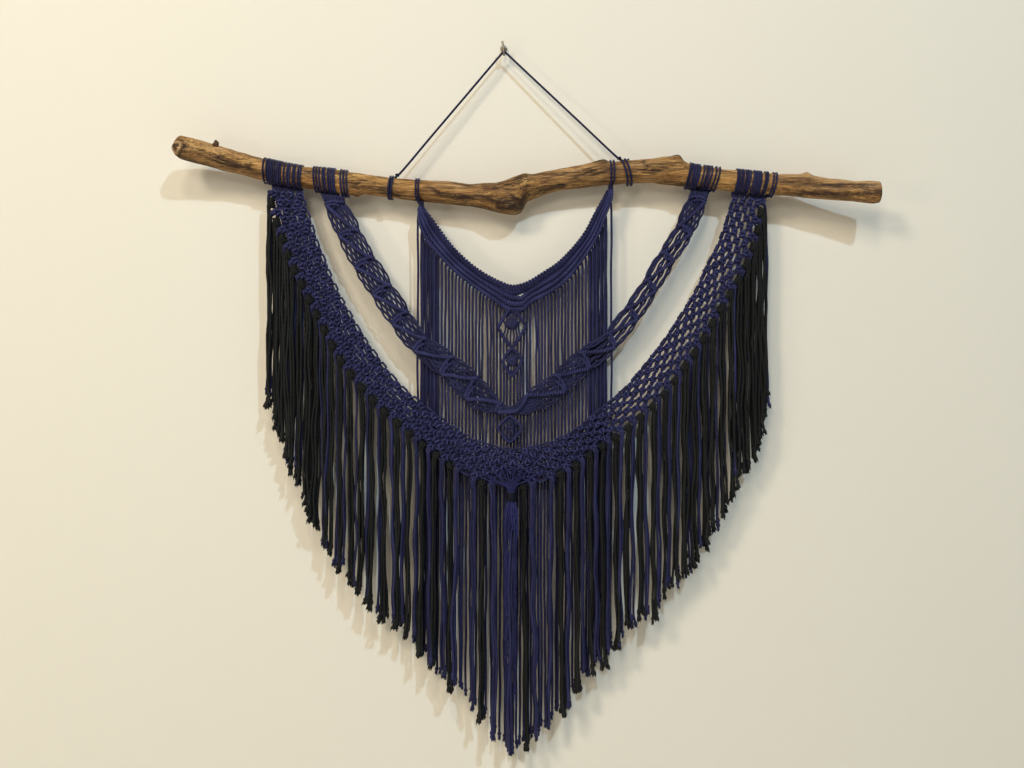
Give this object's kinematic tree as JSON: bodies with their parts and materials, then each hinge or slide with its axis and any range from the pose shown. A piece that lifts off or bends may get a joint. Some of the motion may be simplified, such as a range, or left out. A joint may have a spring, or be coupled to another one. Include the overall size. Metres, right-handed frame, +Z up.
{
  "type": "macrame wall hanging on a driftwood branch, with its wall hook",
  "caption": "Knotted cotton wall hanging with swagged bands, string curtain, tassel and long fringe on a driftwood branch, hung by a cord from a wall hook.",
  "frame": {"origin": "centre of the wall hook's flat back, on the wall", "axes": "+Y into the wall, +Z up, +X to the right of someone facing the hanging; all of it is in front of the wall, at Y below 0"},
  "size_m": [0.9057, 0.0588, 0.9213],
  "materials": {
    "driftwood": "bare weathered wood, tan with dark brown grain streaks and knots",
    "navy_cord": "matte navy cotton cord, 3 mm, braided",
    "black_yarn": "matte black twisted yarn, slightly fuzzy",
    "hook_steel": "dull zinc-plated wire"
  },
  "bodies": {
    "root": {"branch": "driftwood", "wall_hook": "hook_steel", "hanging_cord": "navy_cord", "outer_loops_left": "navy_cord", "outer_loops_right": "navy_cord", "inner_loops_left": "navy_cord", "inner_loops_right": "navy_cord", "centre_tie_left": "navy_cord", "centre_tie_right": "navy_cord", "outer_net": "navy_cord", "inner_band": "navy_cord", "inner_band_drop": "navy_cord", "centre_heading": "navy_cord", "centre_motif": "navy_cord", "centre_curtain": "navy_cord", "fringe_navy": "navy_cord", "fringe_black_left": "black_yarn", "fringe_black_right": "black_yarn", "tassel": "navy_cord", "tassel_wrap": "navy_cord"}
  },
  "joints": []
}
